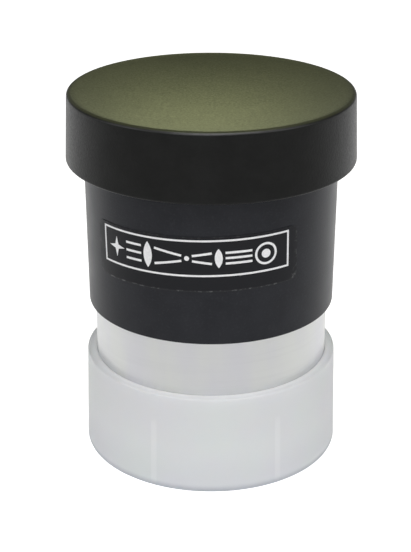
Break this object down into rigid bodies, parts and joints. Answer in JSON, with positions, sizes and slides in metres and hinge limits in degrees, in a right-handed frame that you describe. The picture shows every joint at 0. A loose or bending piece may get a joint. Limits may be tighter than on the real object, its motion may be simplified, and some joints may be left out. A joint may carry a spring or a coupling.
{
  "type": "telescope eyepiece",
  "caption": "Push-fit telescope eyepiece with a black housing, metal barrel, fold-down rubber eyecup, cemented and single lenses, and a dust cap on each end.",
  "frame": {"origin": "centre of the shoulder, where the barrel meets the housing, on the optical axis", "axes": "+Z is the optical axis and points at the eye, the barrel runs down -Z, and the label faces -Y"},
  "size_m": [0.0386, 0.0386, 0.0506],
  "materials": {
    "eye_cap": "satin, fine grain, olive sheen on the dished top",
    "eyecup_rubber": "matte",
    "housing": "black anodised, semi-gloss",
    "label": "gloss film",
    "label_print": "white ink",
    "lens_cell": "matte black anodised",
    "rings": "matte black anodised",
    "spacer": "matte black, ribbed bore",
    "crown_glass": "polished, magnesium fluoride coated",
    "flint_glass": "polished, magnesium fluoride coated",
    "barrel": "bright satin, fine turned lines",
    "barrel_cap": "milky translucent, satin"
  },
  "bodies": {
    "eyepiece": {"eyecup_base": "eyecup_rubber", "eyecup_skirt": "eyecup_rubber", "housing": "housing", "label_film": "label", "label_print": "label_print", "lens_cell": "lens_cell", "eye_lens_crown": "crown_glass", "eye_lens_flint": "flint_glass", "lens_spacer": "spacer", "field_lens": "crown_glass", "field_lens_ring": "rings", "field_stop": "rings", "barrel": "barrel"},
    "eye_cap": {"eye_cap": "eye_cap"},
    "eyecup_lip": {"eyecup_lip": "eyecup_rubber"},
    "barrel_cap": {"barrel_cap": "barrel_cap"}
  },
  "joints": [
    {"name": "eye_cap_slide", "type": "slide", "parent": "eyepiece", "child": "eye_cap", "axis": [0, 0, 1], "range_m": [0, 0.03]},
    {"name": "eyecup_fold", "type": "slide", "parent": "eyepiece", "child": "eyecup_lip", "axis": [0, 0, -1], "range_m": [0, 0.0072], "deforming": ["eyecup_skirt"]},
    {"name": "barrel_cap_slide", "type": "slide", "parent": "eyepiece", "child": "barrel_cap", "axis": [0, 0, -1], "range_m": [0, 0.05]}
  ]
}
